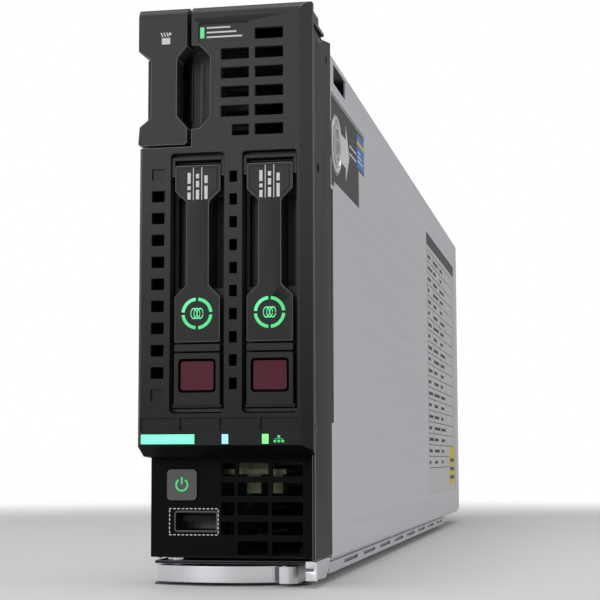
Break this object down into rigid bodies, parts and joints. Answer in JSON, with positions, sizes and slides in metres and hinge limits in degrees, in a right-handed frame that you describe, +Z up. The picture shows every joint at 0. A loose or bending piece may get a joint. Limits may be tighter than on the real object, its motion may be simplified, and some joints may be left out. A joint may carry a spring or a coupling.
{
  "type": "blade server",
  "caption": "Tall narrow blade server with a moulded bezel, plug-in drives with levers, sliding side panel, release lever and rear connectors.",
  "frame": {"origin": "centre of the base, on the resting surface under the runners", "axes": "+Z up, +Y towards the rear connectors (the front bezel faces -Y), +X towards the removable side panel"},
  "size_m": [0.0556, 0.5176, 0.1807],
  "materials": {
    "moulded_plastic": "fine matte moulding",
    "black_sheet": "black painted steel sheet",
    "zinc_sheet": "brushed zinc-plated steel",
    "satin_steel": "satin metal",
    "polished_lever": "polished metal",
    "fastener_steel": "plated fasteners",
    "circuit_board": "olive green solder mask",
    "nickel": "nickel plating",
    "aluminium": "bare aluminium",
    "connector_plastic": "black connector housings",
    "green_lens": "lit green light pipe",
    "blue_lens": "lit blue light pipe",
    "clear_button": "clear moulded button with a green symbol",
    "eject_plastic": "maroon plastic",
    "card_plastic": "thin plastic card"
  },
  "bodies": {
    "chassis": {"base_pan": "zinc_sheet", "bottom_rail_left": "zinc_sheet", "bottom_rail_right": "zinc_sheet", "front_bezel": "moulded_plastic", "side_frame": "black_sheet", "top_guide": "black_sheet", "side_catch": "satin_steel", "lever_bracket": "black_sheet", "lever_pivot_pin": "polished_lever", "drive_cage": "zinc_sheet", "cage_stays": "zinc_sheet", "drive_backplane": "circuit_board", "drive_connectors": "connector_plastic", "system_board": "circuit_board", "board_standoffs": "fastener_steel", "board_screws": "fastener_steel", "processor_front": "nickel", "processor_rear": "nickel", "heat_sink_front": "aluminium", "heat_sink_rear": "aluminium", "memory_sockets_front": "connector_plastic", "memory_sockets_rear": "connector_plastic", "memory_modules_front": "circuit_board", "memory_modules_rear": "circuit_board", "network_adapter": "circuit_board", "mezzanine_card": "circuit_board", "card_connectors": "connector_plastic", "storage_controller": "circuit_board", "chipset_heat_sink": "aluminium", "cell_holder": "connector_plastic", "coin_cell": "nickel", "front_io_board": "circuit_board", "power_switch": "connector_plastic", "service_port_shell": "nickel", "service_port_tongue": "connector_plastic", "health_light": "green_lens", "unit_light": "blue_lens", "link_light": "green_lens", "diagnostic_connector": "connector_plastic", "rear_wall": "zinc_sheet", "signal_connector": "connector_plastic", "power_connector": "connector_plastic", "guide_blocks": "aluminium", "panel_studs": "fastener_steel"},
    "pull_tab": {"pull_tab": "moulded_plastic", "label_card": "card_plastic"},
    "release_lever": {"release_lever": "polished_lever"},
    "release_button": {"release_button": "satin_steel"},
    "power_button": {"power_button": "clear_button"},
    "drive_1": {"drive_1_carrier": "moulded_plastic", "drive_1_disk": "aluminium"},
    "drive_1_lever": {"drive_1_lever": "moulded_plastic"},
    "drive_1_button": {"drive_1_button": "eject_plastic"},
    "drive_2": {"drive_2_carrier": "moulded_plastic", "drive_2_disk": "aluminium"},
    "drive_2_lever": {"drive_2_lever": "moulded_plastic"},
    "drive_2_button": {"drive_2_button": "eject_plastic"},
    "access_panel": {"access_panel": "zinc_sheet", "latch_bracket": "zinc_sheet"},
    "panel_latch": {"panel_latch": "satin_steel"}
  },
  "joints": [
    {"name": "tab_slide", "type": "slide", "parent": "chassis", "child": "pull_tab", "axis": [0, -1, 0], "range_m": [0, 0.05]},
    {"name": "lever_swing", "type": "hinge", "parent": "chassis", "child": "release_lever", "pos_m": [-0.02, -0.2368, 0.0035], "axis": [0, 0, -1], "range_deg": [0, 60]},
    {"name": "release_press", "type": "slide", "parent": "chassis", "child": "release_button", "axis": [0, 1, 0], "range_m": [0, 0.002], "stiffness_N_per_m": 300},
    {"name": "power_press", "type": "slide", "parent": "chassis", "child": "power_button", "axis": [0, 1, 0], "range_m": [0, 0.001], "stiffness_N_per_m": 300},
    {"name": "drive_1_slide", "type": "slide", "parent": "chassis", "child": "drive_1", "axis": [0, -1, 0], "range_m": [0, 0.1]},
    {"name": "drive_1_lever_swing", "type": "hinge", "parent": "drive_1", "child": "drive_1_lever", "pos_m": [-0.0085, -0.2562, 0.1284], "axis": [-1, 0, 0], "range_deg": [0, 40]},
    {"name": "drive_1_press", "type": "slide", "parent": "drive_1", "child": "drive_1_button", "axis": [0, 1, 0], "range_m": [0, 0.0015], "stiffness_N_per_m": 300},
    {"name": "drive_2_slide", "type": "slide", "parent": "chassis", "child": "drive_2", "axis": [0, -1, 0], "range_m": [0, 0.1]},
    {"name": "drive_2_lever_swing", "type": "hinge", "parent": "drive_2", "child": "drive_2_lever", "pos_m": [0.0143, -0.2562, 0.1284], "axis": [-1, 0, 0], "range_deg": [0, 40]},
    {"name": "drive_2_press", "type": "slide", "parent": "drive_2", "child": "drive_2_button", "axis": [0, 1, 0], "range_m": [0, 0.0015], "stiffness_N_per_m": 300},
    {"name": "panel_slide", "type": "slide", "parent": "chassis", "child": "access_panel", "axis": [0, 1, 0], "range_m": [0, 0.013]},
    {"name": "panel_latch_press", "type": "slide", "parent": "access_panel", "child": "panel_latch", "axis": [-1, 0, 0], "range_m": [0, 0.002], "stiffness_N_per_m": 300}
  ]
}
